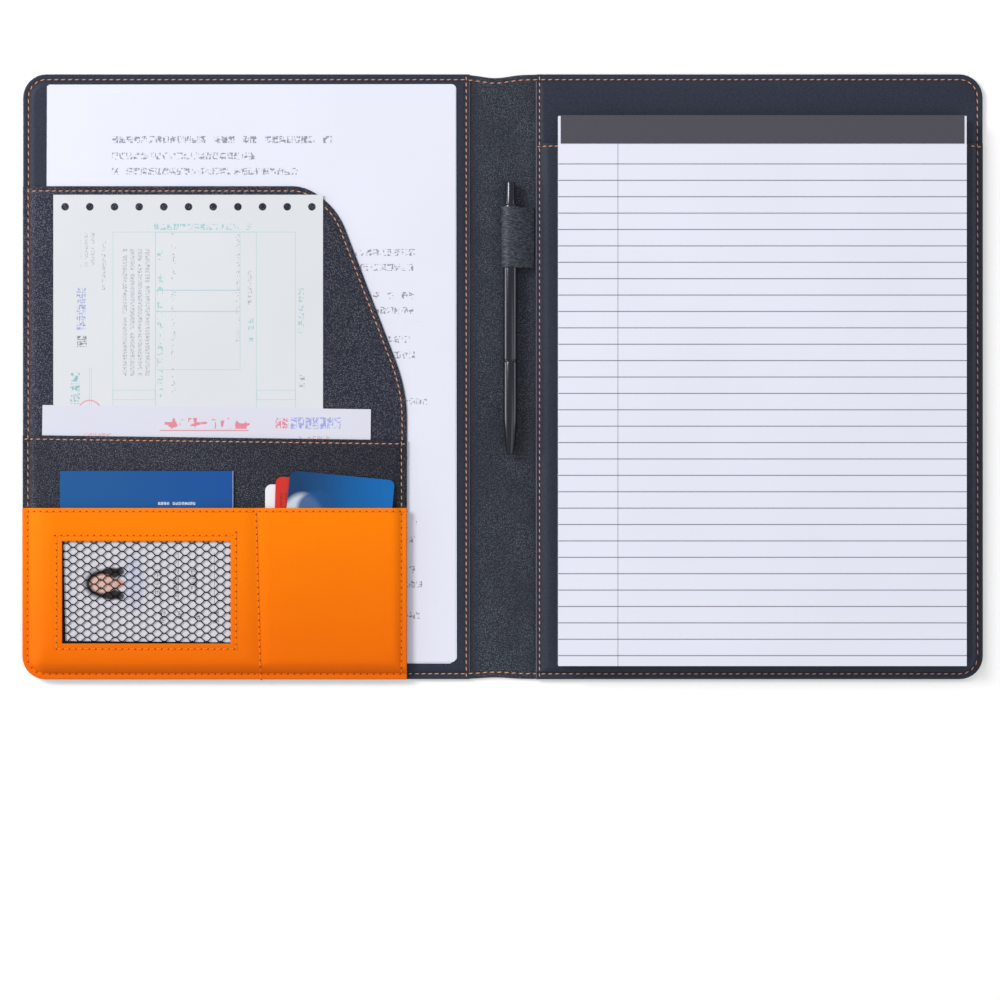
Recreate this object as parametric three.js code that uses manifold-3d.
// A leather padfolio lying open: two padded covers joined by a folding spine, pockets with papers and
// cards on the left, a notepad in its slot pocket on the right and a click pen in a loop on the spine.
// Millimetres, +Z up. X runs across the open covers, Y towards their top edge, and Z = 0 is the table.
import * as THREE from 'three';
import { mergeVertices } from 'three/addons/utils/BufferGeometryUtils.js';
import Module from 'manifold-3d';

const wasm = await Module();
wasm.setup();

// The A4 sheets that the covers are made round, and the margin that they leave on the left panel
const documentSheets = { width: 210, length: 297, thickness: 0.6 };
const margin = { outer: 13, inner: 8, bottom: 8.9, top: 6.1 };

// Covers and spine
const cover = {
  panelWidth: documentSheets.width + margin.outer + margin.inner,
  height: documentSheets.length + margin.bottom + margin.top,
  cornerRadius: 12,
  leather: 1.0,
  board: 1.2,
  lining: 0.8,
  seam: 3.2, // leather and lining sewn together outside the board
  liningSetback: 0.5, // from the fold line to the cut edge of a panel's lining
  boardSetback: 2,
};
const spine = { sideStrip: 9, middleStrip: 15, lining: 0.8, topDip: 3, bottomDip: 1, foldGap: 0.6 };
const tab = { length: 110, width: 34.3, thickness: 1.0, proud: 0.5, fromBottom: 49.4, margin: 0.3 };

// Edges of the covers
const foldX = spine.middleStrip / 2;
const spineX = foldX + spine.sideStrip;
const outerX = spineX + cover.panelWidth;
const topY = cover.height / 2;
const bottomY = -topY;

// Clearances
const slip = 0.1; // above and below anything that slides in a pocket
const boardFit = 0.3;
const cutFit = 0.5; // how far a cutting shape runs past the face that it cuts

// Pockets on the left panel. Depths are from the panel's bottom edge and widths from its outer edge.
const pocketSeam = 4;
const pocketDivider = 2.4;
const documentPocket = {
  thickness: 0.8,
  depth: 254,
  width: 198.1,
  slant: { foot: 149.2, footRound: 15, drop: 21.5, width: 32 }, // the slant's ends, up the side and from the top corner
  topCurve: 58.6, // from the side to where the top edge is straight
};
const receiptPocket = { thickness: 0.8, depth: 125.8, sideDrop: 2.6, sideSeam: 3 };
const cardPocket = { thickness: 1.0, depth: 88.3, sideSeam: 2.8, dividerTop: 120.8, dividerLean: 2.3 };
const idWindow = { fromEdge: 21.4, fromBottom: 18.8, width: 86.4, height: 52.5, border: 3 };
const net = { thickness: 0.3, wire: 0.62, columns: 24, shortColumn: 12, longColumn: 13 };

// Papers and cards. A place is given from the panel's outer edge and bottom edge.
const invoice = { width: 138.8, length: 240, thickness: 0.2, fromEdge: 16.1, fromBottom: 9.5 };
const invoiceHoles = { diameter: 4, pitch: 12.7, count: 11, fromTop: 6.2, firstFromLeft: 6.1, sides: 12 };
const receipt = { width: 169, length: 132.5, thickness: 0.2, fromEdge: 10.6, fromBottom: 8.8, turn: -0.75 };
const booklet = { width: 89, length: 100, cover: 0.25, pages: 0.7, fromEdge: 19.9, fromBottom: 7.3 };
const pageInset = 1;
const idCard = { width: 90, length: 54, thickness: 0.6, cornerRadius: 1.5 };
const bankCard = { width: 54, length: 85.6, thickness: 0.76, cornerRadius: 3.2 };
// each card's distance from the divider, how far it stands out of the pocket, and its turn in degrees
const cardFan = [
  { name: 'card_white', aside: 4.5, out: 12.1, turn: 0, colour: 0xeef0f4 },
  { name: 'card_red', aside: 10.1, out: 16.1, turn: -2, colour: 0xd83a30 },
  { name: 'card_blue', aside: 17.5, out: 19.3, turn: -5.5, colour: 0x1f5f9e },
];

// Notepad and its pocket on the right panel
const padPocket = { thickness: 0.8, depth: 276.3, seam: 3 };
const pad = {
  width: 209,
  length: 282,
  fromSpine: 11.9,
  fromBottom: 7.4,
  backboard: 1.0,
  block: 7.0,
  topSheet: 0.2,
  tape: 0.3,
  tapeDepth: 14.5,
  tapeInset: 1.2,
  glued: 12.2, // the bound depth, where block and backboard meet above the pocket's edge
};

// Pen and its loop on the middle strip of the spine
const pen = {
  radius: 3.8,
  length: 140,
  fromTop: 56.3,
  aside: 3.7, // from the fold line on the notepad's side
  plungerRadius: 2.5,
  plungerOut: 11.4,
  collar: 2.2,
  stemRadius: 1.7,
  gripLength: 48,
  coneLength: 16,
  noseRadius: 1.8,
  noseBore: 1.25,
  bore: 2.3,
  refillRadius: 1.5,
  tipRadius: 0.5,
  tipLength: 13,
  tipDepth: 1, // of the writing tip inside the cone
  stemLength: 24,
  press: 3,
};
const loop = { thickness: 0.6, length: 32.5, play: 0.15, seamSetback: 0.3, lift: 0.05 };
const roundSteps = 24;

// Heights above the table, layer by layer
const leatherBottom = tab.proud;
const leatherTop = leatherBottom + cover.leather;
const boardTop = leatherTop + cover.board;
const liningTop = boardTop + cover.lining;
const spineLiningTop = leatherTop + spine.lining;

const documentZ = liningTop + slip;
const documentPocketZ = documentZ + documentSheets.thickness + slip;
const documentPocketTop = documentPocketZ + documentPocket.thickness;
const invoiceZ = documentPocketTop + slip;
const receiptZ = invoiceZ + invoice.thickness + slip;
const receiptPocketZ = receiptZ + receipt.thickness + slip;
const receiptPocketTop = receiptPocketZ + receiptPocket.thickness;
const cardZ = receiptPocketTop + slip;
const bookletThickness = 2 * booklet.cover + booklet.pages;
const idCardZ = cardZ + bookletThickness + slip;
const cardStep = bankCard.thickness + slip;
const cardPocketZ = cardZ + cardFan.length * cardStep + slip;
const netZ = cardPocketZ - net.thickness;

const tapeBackZ = liningTop + slip;
const backboardZ = tapeBackZ + pad.tape;
const backboardTop = backboardZ + pad.backboard;
const padPocketZ = backboardTop + slip;
const blockZ = padPocketZ + padPocket.thickness + slip;
const blockTop = blockZ + pad.block;
const topSheetZ = blockTop + slip;

// Places on the left panel
const fromOuterEdge = (distance) => -outerX + distance;
const fromBottomEdge = (distance) => bottomY + distance;
const pocketRight = fromOuterEdge(documentPocket.width);
const cardPocketTop = fromBottomEdge(cardPocket.depth);
const dividerTopX = fromOuterEdge(cardPocket.dividerTop);
const dividerBottomX = dividerTopX + cardPocket.dividerLean;
const windowLeft = fromOuterEdge(idWindow.fromEdge);
const windowRight = windowLeft + idWindow.width;
const windowBottom = fromBottomEdge(idWindow.fromBottom);
const windowTop = windowBottom + idWindow.height;

// Materials
const material = (color, roughness, metalness = 0) =>
  new THREE.MeshStandardMaterial({ color, roughness, metalness });
const coverLeather = material(0x30343c, 0.55);
const liningLeather = material(0x2c3038, 0.6);
const pocketLeather = material(0x393c42, 0.7);
const orangeLeather = material(0xf5800c, 0.5);
const greyBoard = material(0x8d8678, 0.9);
const loopBand = material(0x26282e, 0.7);
const blackNet = material(0x1c1c1e, 0.6);
const whitePaper = material(0xeceef4, 0.8);
const invoicePaper = material(0xdde2df, 0.8);
const receiptPaper = material(0xdcd9e8, 0.8);
const blueCover = material(0x2359a6, 0.45);
const cardPlastic = material(0xe6e8ee, 0.35);
const bindingTape = material(0x4a464b, 0.6);
const penLacquer = material(0x2b2d33, 0.25, 0.3);
const penMetal = material(0x9a9ca2, 0.3, 0.9);
const refillMetal = material(0xb9a46a, 0.35, 0.8);

// Solids from closed meshes, for cutting and joining
function toSolid(geometry) {
  const bare = geometry.clone();
  bare.deleteAttribute('normal');
  bare.deleteAttribute('uv');
  const merged = mergeVertices(bare);
  const vertProperties = new Float32Array(merged.attributes.position.array);
  const triVerts = new Uint32Array(merged.index.array);
  return new wasm.Manifold(new wasm.Mesh({ numProp: 3, vertProperties, triVerts }));
}

function toGeometry(solid) {
  const mesh = solid.getMesh();
  const geometry = new THREE.BufferGeometry();
  geometry.setAttribute('position', new THREE.BufferAttribute(mesh.vertProperties, 3));
  geometry.setIndex(new THREE.BufferAttribute(mesh.triVerts, 1));
  geometry.computeVertexNormals();
  return geometry;
}

function cut(geometry, ...cutters) {
  const solid = cutters.reduce((left, cutter) => left.subtract(toSolid(cutter)), toSolid(geometry));
  return toGeometry(solid);
}

// A rectangle whose corners, from the bottom left one and anticlockwise, have these radii
function roundedRectangle(x0, y0, x1, y1, [r0, r1, r2, r3] = [0, 0, 0, 0]) {
  const shape = new THREE.Shape();
  shape.moveTo(x0 + r0, y0);
  shape.lineTo(x1 - r1, y0);
  if (r1) shape.absarc(x1 - r1, y0 + r1, r1, -Math.PI / 2, 0);
  shape.lineTo(x1, y1 - r2);
  if (r2) shape.absarc(x1 - r2, y1 - r2, r2, 0, Math.PI / 2);
  shape.lineTo(x0 + r3, y1);
  if (r3) shape.absarc(x0 + r3, y1 - r3, r3, Math.PI / 2, Math.PI);
  shape.lineTo(x0, y0 + r0);
  if (r0) shape.absarc(x0 + r0, y0 + r0, r0, Math.PI, 1.5 * Math.PI);
  return shape;
}

const polygon = (points) => new THREE.Shape(points.map(([x, y]) => new THREE.Vector2(x, y)));

function slab(shape, thickness, curveSegments = 6) {
  return new THREE.ExtrudeGeometry(shape, { depth: thickness, bevelEnabled: false, curveSegments });
}

// A block between two corners, used as a cutting shape
function block([x0, y0, z0], [x1, y1, z1]) {
  const geometry = new THREE.BoxGeometry(x1 - x0, y1 - y0, z1 - z0);
  return geometry.translate((x0 + x1) / 2, (y0 + y1) / 2, (z0 + z1) / 2);
}

function piece(name, geometry, meshMaterial, z = 0) {
  const mesh = new THREE.Mesh(geometry, meshMaterial);
  mesh.name = name;
  mesh.position.z = z;
  return mesh;
}

function bodyOf(...pieces) {
  const group = new THREE.Group();
  group.add(...pieces);
  return group;
}

// A panel's outline on one side of the spine, from inner to its outer edge, drawn in by inset
function panelOutline(side, inner, inset = 0) {
  const r = cover.cornerRadius - inset;
  const x0 = side < 0 ? -outerX + inset : inner;
  const x1 = side < 0 ? -inner : outerX - inset;
  const radii = side < 0 ? [r, 0, 0, r] : [0, r, r, 0];
  return roundedRectangle(x0, bottomY + inset, x1, topY - inset, radii);
}

// The outer leather of a panel
function panelLeather(side) {
  return slab(panelOutline(side, spineX + spine.foldGap / 2), cover.leather);
}

// The stiff board inside a panel
function panelBoard(side) {
  return slab(panelOutline(side, spineX + cover.boardSetback, cover.seam), cover.board);
}

// The lining of a panel, hollowed for the board, so that its rim is sewn down on the outer leather
function panelLining(side) {
  const whole = slab(panelOutline(side, spineX + cover.liningSetback), cover.board + cover.lining);
  const inner = spineX + cover.boardSetback - boardFit;
  const hollow = slab(panelOutline(side, inner, cover.seam - boardFit), cover.board + cutFit);
  return cut(whole, hollow.translate(0, 0, -cutFit));
}

// The outline of the sewn tab, grown by margin: straight at the fore-edge, half round at the other end
function tabOutline(margin = 0) {
  const low = bottomY + tab.fromBottom - margin;
  const high = low + tab.width + 2 * margin;
  const right = -outerX + tab.length + margin;
  const r = (high - low) / 2;
  return roundedRectangle(-outerX, low, right, high, [0, r, r, 0]);
}

function frontLeather() {
  const sink = tab.thickness - tab.proud;
  const seat = slab(tabOutline(tab.margin), sink + cutFit, roundSteps / 2);
  return cut(panelLeather(-1), seat.translate(0, 0, -cutFit));
}

// One strip of the spine, between two fold lines
function spineStrip(x0, x1, thickness) {
  const half = spine.foldGap / 2;
  const low = bottomY + spine.bottomDip;
  return slab(roundedRectangle(x0 + half, low, x1 - half, topY - spine.topDip), thickness);
}

// Pockets of the left panel. Each is a sheet with a sewn rim that reaches down to what is behind it.
function documentPocketOutline() {
  const { depth, slant, topCurve } = documentPocket;
  const top = fromBottomEdge(depth);
  const foot = fromBottomEdge(slant.foot);
  const slantX = pocketRight - slant.width;
  const slantY = top - slant.drop;
  const lean = -slant.width / (slantY - foot);
  const { footRound } = slant;
  const bend = slant.drop / 2;
  const shape = new THREE.Shape();
  shape.moveTo(-outerX + cover.cornerRadius, bottomY);
  shape.lineTo(pocketRight, bottomY);
  shape.lineTo(pocketRight, foot - footRound);
  shape.quadraticCurveTo(pocketRight, foot, pocketRight + lean * footRound, foot + footRound);
  shape.lineTo(slantX, slantY);
  const curveEnd = pocketRight - topCurve;
  shape.bezierCurveTo(slantX + lean * bend, slantY + bend, curveEnd + bend, top, curveEnd, top);
  shape.lineTo(-outerX, top);
  shape.lineTo(-outerX, bottomY + cover.cornerRadius);
  const r = cover.cornerRadius;
  shape.absarc(-outerX + r, bottomY + r, r, Math.PI, 1.5 * Math.PI);
  return shape;
}

// The space inside a pocket that is sewn at the left and bottom, and at right where that is given
function pocketCavity(depth, right = 0) {
  const r = cover.cornerRadius - pocketSeam;
  const inner = [-outerX + pocketSeam, bottomY + pocketSeam, right, topY];
  return slab(roundedRectangle(...inner, [r, 0, 0, 0]), depth + cutFit).translate(0, 0, -cutFit);
}

function documentPocketSheet() {
  const rise = documentPocketZ - liningTop;
  return cut(slab(documentPocketOutline(), rise + documentPocket.thickness, 10), pocketCavity(rise));
}

function receiptPocketSheet() {
  const rise = receiptPocketZ - documentPocketTop;
  const right = pocketRight;
  const r = cover.cornerRadius;
  const leftTop = fromBottomEdge(receiptPocket.depth);
  const shape = roundedRectangle(-outerX, bottomY, right, leftTop, [r, 0, 0, 0]);
  const top = polygon([
    [-outerX, leftTop],
    [right + cutFit, leftTop - receiptPocket.sideDrop],
    [right + cutFit, topY],
    [-outerX, topY],
  ]);
  const whole = slab(shape, rise + receiptPocket.thickness);
  const above = slab(top, rise + receiptPocket.thickness + 2 * cutFit).translate(0, 0, -cutFit);
  return cut(whole, pocketCavity(rise, right - receiptPocket.sideSeam), above);
}

// The two hollows of the card pocket, left and right of its slanting divider
function cardCavities(depth) {
  const half = pocketDivider / 2;
  const low = bottomY + pocketSeam;
  const high = cardPocketTop + cutFit;
  const right = pocketRight - cardPocket.sideSeam;
  const left = -outerX + pocketSeam;
  const r = cover.cornerRadius - pocketSeam;
  const leftHollow = new THREE.Shape();
  leftHollow.moveTo(left + r, low);
  leftHollow.lineTo(dividerBottomX - half, low);
  leftHollow.lineTo(dividerTopX - half, high);
  leftHollow.lineTo(left, high);
  leftHollow.lineTo(left, low + r);
  leftHollow.absarc(left + r, low + r, r, Math.PI, 1.5 * Math.PI);
  const rightHollow = polygon([
    [dividerBottomX + half, low],
    [right, low],
    [right, high],
    [dividerTopX + half, high],
  ]);
  return [leftHollow, rightHollow].map((hollow) =>
    slab(hollow, depth + cutFit).translate(0, 0, -cutFit),
  );
}

function cardPocketSheet() {
  const rise = cardPocketZ - receiptPocketTop;
  const r = cover.cornerRadius;
  const shape = roundedRectangle(-outerX, bottomY, pocketRight, cardPocketTop, [r, 0, 0, 0]);
  const whole = rise + cardPocket.thickness;
  const opening = block([windowLeft, windowBottom, 0], [windowRight, windowTop, whole + cutFit]);
  return cut(slab(shape, whole), ...cardCavities(rise), opening);
}

// The net behind the window: hexagonal gaps in columns, every second column half a gap lower
function windowNet() {
  const { border } = idWindow;
  const sheet = block(
    [windowLeft - border, windowBottom - border, 0],
    [windowRight + border, windowTop + border, net.thickness],
  );
  const columnPitch = idWindow.width / net.columns;
  const side = columnPitch / 1.5;
  const rowPitch = side * Math.sqrt(3);
  const gapRadius = side - net.wire / Math.sqrt(3);
  const gap = new THREE.CylinderGeometry(gapRadius, gapRadius, net.thickness + 2 * cutFit, 6);
  gap.rotateX(Math.PI / 2).rotateZ(Math.PI / 6).translate(0, 0, net.thickness / 2);
  const gapSolid = toSolid(gap);
  const middleY = (windowBottom + windowTop) / 2;
  const gaps = [];
  for (let column = 0; column < net.columns; column++) {
    const rows = column % 2 ? net.longColumn : net.shortColumn;
    for (let row = 0; row < rows; row++) {
      const x = windowLeft + (column + 0.5) * columnPitch;
      const y = middleY + (row - (rows - 1) / 2) * rowPitch;
      gaps.push(gapSolid.translate([x, y, 0]));
    }
  }
  return toGeometry(wasm.Manifold.difference([toSolid(sheet), ...gaps]));
}

// A flat sheet with its bottom left corner at left and bottom
function sheetAt(left, bottom, { width, length, thickness }) {
  return slab(roundedRectangle(left, bottom, left + width, bottom + length), thickness);
}

const onLeftPanel = (sheet) =>
  sheetAt(fromOuterEdge(sheet.fromEdge), fromBottomEdge(sheet.fromBottom), sheet);

// The slip lies a little askew, turned about its top left corner
function receiptSheet() {
  const left = fromOuterEdge(receipt.fromEdge);
  const top = fromBottomEdge(receipt.fromBottom) + receipt.length;
  const sheet = onLeftPanel(receipt).translate(-left, -top, 0);
  return sheet.rotateZ(THREE.MathUtils.degToRad(receipt.turn)).translate(left, top, 0);
}

const documentStack = () =>
  sheetAt(fromOuterEdge(margin.outer), fromBottomEdge(margin.bottom), documentSheets);

function invoicePaperSheet() {
  const { diameter, pitch, count, fromTop, firstFromLeft, sides } = invoiceHoles;
  const height = invoice.thickness + 2 * cutFit;
  const holes = [];
  for (let i = 0; i < count; i++) {
    const hole = new THREE.CylinderGeometry(diameter / 2, diameter / 2, height, sides);
    hole.rotateX(Math.PI / 2);
    const x = fromOuterEdge(invoice.fromEdge) + firstFromLeft + i * pitch;
    const y = fromBottomEdge(invoice.fromBottom) + invoice.length - fromTop;
    holes.push(hole.translate(x, y, invoice.thickness / 2));
  }
  return cut(onLeftPanel(invoice), ...holes);
}

// The booklet's cover: two leaves and a back along its left edge, seen from its bottom edge
function bookletCover() {
  const { width, cover: leaf, length } = booklet;
  const left = fromOuterEdge(booklet.fromEdge);
  const right = left + width;
  const top = bookletThickness;
  const section = polygon([
    [left, 0],
    [right, 0],
    [right, leaf],
    [left + leaf, leaf],
    [left + leaf, top - leaf],
    [right, top - leaf],
    [right, top],
    [left, top],
  ]);
  const y = fromBottomEdge(booklet.fromBottom) + length;
  return slab(section, length).rotateX(Math.PI / 2).translate(0, y, 0);
}

function bookletPages() {
  const { width, cover: leaf, length, pages } = booklet;
  const left = fromOuterEdge(booklet.fromEdge) + leaf;
  const bottom = fromBottomEdge(booklet.fromBottom) + pageInset;
  const sheets = { width: width - leaf - pageInset, length: length - 2 * pageInset, thickness: pages };
  return sheetAt(left, bottom, sheets);
}

// A plastic card with its top left corner at the mesh's own origin
function cardBlank({ width, length, thickness, cornerRadius: r }) {
  return slab(roundedRectangle(0, -length, width, 0, [r, r, r, r]), thickness);
}

function placedCard({ name, aside, out, turn, colour }, index) {
  const card = piece(name, cardBlank(bankCard), material(colour, 0.35));
  card.position.set(dividerTopX + aside, cardPocketTop + out, cardZ + index * cardStep);
  card.rotation.z = THREE.MathUtils.degToRad(turn);
  return card;
}

// The ID card lies on its side behind the window, in the middle of it
function windowCard() {
  const card = piece('id_card', cardBlank(idCard), cardPlastic);
  const x = (windowLeft + windowRight - idCard.width) / 2;
  card.position.set(x, (windowBottom + windowTop + idCard.length) / 2, idCardZ);
  return card;
}

// Notepad pocket: open along its top edge
function padPocketSheet() {
  const rise = padPocketZ - liningTop;
  const r = cover.cornerRadius;
  const left = spineX + cover.liningSetback;
  const { seam, thickness, depth } = padPocket;
  const top = fromBottomEdge(depth);
  const whole = slab(roundedRectangle(left, bottomY, outerX, top, [0, r, 0, 0]), rise + thickness);
  const inner = [left + seam, bottomY + seam, outerX - seam, topY];
  const hollow = slab(roundedRectangle(...inner, [0, r - seam, 0, 0]), rise + cutFit);
  return cut(whole, hollow.translate(0, 0, -cutFit));
}

// A section drawn in Y and Z, given its width along X from x0
function acrossX(section, x0, width) {
  return slab(section, width).rotateX(Math.PI / 2).rotateZ(Math.PI / 2).translate(x0, 0, 0);
}

const padLeft = spineX + pad.fromSpine;
const padBottom = fromBottomEdge(pad.fromBottom);

// The block of sheets steps down to the backboard where both are glued, above the pocket's edge
function padBlock() {
  const top = padBottom + pad.length - pad.tape;
  const step = top - pad.glued;
  const section = polygon([
    [padBottom, blockZ],
    [step, blockZ],
    [step, backboardTop],
    [top, backboardTop],
    [top, blockTop],
    [padBottom, blockTop],
  ]);
  return acrossX(section, padLeft, pad.width);
}

function padBackboard() {
  const { width, length, tape, backboard } = pad;
  return sheetAt(padLeft, padBottom, { width, length: length - tape, thickness: backboard });
}

// The binding tape goes from the front of the block, over the bound edge, to the back of the board
function padTape() {
  const top = padBottom + pad.length;
  const low = top - pad.tapeDepth;
  const section = polygon([
    [low, tapeBackZ],
    [top, tapeBackZ],
    [top, blockTop + pad.tape],
    [low, blockTop + pad.tape],
    [low, blockTop],
    [top - pad.tape, blockTop],
    [top - pad.tape, backboardZ],
    [low, backboardZ],
  ]);
  return acrossX(section, padLeft + pad.tapeInset, pad.width - 2 * pad.tapeInset);
}

function padTopSheet() {
  const length = pad.length - pad.tapeDepth - boardFit;
  return sheetAt(padLeft, padBottom, { width: pad.width, length, thickness: pad.topSheet });
}

// A round piece turned about Y, from a profile of [radius, Y] points
function turned(profile) {
  const points = profile.map(([radius, y]) => new THREE.Vector2(radius, y));
  return new THREE.LatheGeometry(points, roundSteps);
}

const penZ = spineLiningTop + loop.lift + loop.thickness + loop.play + pen.radius;
const plungerTop = topY - pen.fromTop;
const barrelTop = plungerTop - pen.plungerOut;
const penTip = plungerTop - pen.length;
const gripTop = penTip + pen.gripLength;
const plungerFoot = barrelTop + pen.press + slip;
const stemEnd = plungerFoot - pen.stemLength;

function penBarrel() {
  const { radius, bore } = pen;
  const shoulder = 0.8;
  return turned([
    [bore, gripTop],
    [radius, gripTop],
    [radius, barrelTop - shoulder],
    [radius - shoulder, barrelTop],
    [bore, barrelTop],
    [bore, gripTop],
  ]);
}

// The lower barrel runs into a cone with a bore for the writing tip
function penGrip() {
  const { radius, bore, coneLength, noseRadius, noseBore } = pen;
  const top = gripTop - slip;
  const coneTop = penTip + coneLength;
  return turned([
    [noseBore, penTip],
    [noseRadius, penTip],
    [noseRadius + 0.9, penTip + coneLength * 0.4],
    [radius - 0.2, coneTop],
    [radius, coneTop + 6],
    [radius, top],
    [bore, top],
    [bore, coneTop],
    [noseBore, penTip + coneLength * 0.5],
    [noseBore, penTip],
  ]);
}

// The plunger's cap stands out of the barrel, with a collar at its foot and a stem inside
function penPlunger() {
  const { plungerRadius, collar, stemRadius } = pen;
  return turned([
    [0, stemEnd],
    [stemRadius, stemEnd],
    [stemRadius, plungerFoot],
    [plungerRadius + 0.3, plungerFoot],
    [plungerRadius + 0.3, plungerFoot + collar],
    [plungerRadius, plungerFoot + collar],
    [plungerRadius, plungerTop - 1],
    [plungerRadius - 0.8, plungerTop],
    [0, plungerTop],
  ]);
}

// The refill hangs on the plunger's stem, with its writing tip just inside the cone
function penRefill() {
  const { refillRadius, tipRadius, tipLength, tipDepth } = pen;
  const tip = penTip + tipDepth;
  return turned([
    [0, tip],
    [tipRadius, tip + 0.6],
    [0.9, tip + 2.4],
    [0.9, tip + tipLength],
    [refillRadius, tip + tipLength + 1],
    [refillRadius, stemEnd - slip],
    [0, stemEnd - slip],
  ]);
}

function penLoopRing() {
  const inner = pen.radius + loop.play;
  const outer = inner + loop.thickness;
  return turned([
    [inner, barrelTop - loop.length],
    [outer, barrelTop - loop.length],
    [outer, barrelTop],
    [inner, barrelTop],
    [inner, barrelTop - loop.length],
  ]);
}

// The flat end of the loop, sewn down on the side strip next to the notepad's panel
function penLoopTab() {
  const start = foldX + spine.foldGap / 2;
  const end = spineX - spine.foldGap / 2 - loop.seamSetback;
  return slab(roundedRectangle(start, barrelTop - loop.length, end, barrelTop), loop.thickness);
}

function penAssembly() {
  const group = bodyOf(
    piece('pen_barrel', penBarrel(), penLacquer),
    piece('pen_grip', penGrip(), penLacquer),
    piece('pen_plunger', penPlunger(), penMetal),
    piece('pen_refill', penRefill(), refillMetal),
    piece('pen_loop', penLoopRing(), loopBand),
  );
  group.position.set(foldX - pen.aside, 0, penZ);
  return group;
}

function coverAssembly(side, name, leather) {
  return bodyOf(
    piece(`${name}_leather`, leather, coverLeather, leatherBottom),
    piece(`${name}_board`, panelBoard(side), greyBoard, leatherTop),
    piece(`${name}_lining`, panelLining(side), liningLeather, leatherTop),
  );
}

function spineAssembly() {
  const strips = [
    ['spine_front', -spineX, -foldX],
    ['spine_middle', -foldX, foldX],
    ['spine_back', foldX, spineX],
  ];
  const pieces = strips.flatMap(([name, x0, x1]) => [
    piece(`${name}_leather`, spineStrip(x0, x1, cover.leather), coverLeather, leatherBottom),
    piece(`${name}_lining`, spineStrip(x0, x1, spine.lining), liningLeather, leatherTop),
  ]);
  return bodyOf(...pieces, piece('pen_loop_tab', penLoopTab(), loopBand, spineLiningTop));
}

function pocketAssembly() {
  return bodyOf(
    piece('document_pocket', documentPocketSheet(), pocketLeather, liningTop),
    piece('receipt_pocket', receiptPocketSheet(), pocketLeather, documentPocketTop),
    piece('card_pocket', cardPocketSheet(), orangeLeather, receiptPocketTop),
    piece('id_window_net', windowNet(), blackNet, netZ),
    piece('cover_tab', slab(tabOutline(), tab.thickness, roundSteps / 2), orangeLeather),
  );
}

function contentsAssembly() {
  return bodyOf(
    piece('document_sheets', documentStack(), whitePaper, documentZ),
    piece('invoice_sheet', invoicePaperSheet(), invoicePaper, invoiceZ),
    piece('receipt_slip', receiptSheet(), receiptPaper, receiptZ),
    piece('booklet_cover', bookletCover(), blueCover, cardZ),
    piece('booklet_pages', bookletPages(), whitePaper, cardZ + booklet.cover),
    windowCard(),
    ...cardFan.map(placedCard),
  );
}

function notepadAssembly() {
  return bodyOf(
    piece('pad_pocket', padPocketSheet(), liningLeather, liningTop),
    piece('pad_backboard', padBackboard(), greyBoard, backboardZ),
    piece('pad_sheets', padBlock(), whitePaper),
    piece('pad_binding', padTape(), bindingTape),
    piece('pad_top_sheet', padTopSheet(), whitePaper, topSheetZ),
  );
}

const padfolio = bodyOf(
  coverAssembly(1, 'back_cover', panelLeather(1)),
  coverAssembly(-1, 'front_cover', frontLeather()),
  spineAssembly(),
  pocketAssembly(),
  contentsAssembly(),
  notepadAssembly(),
  penAssembly(),
);

export default padfolio;
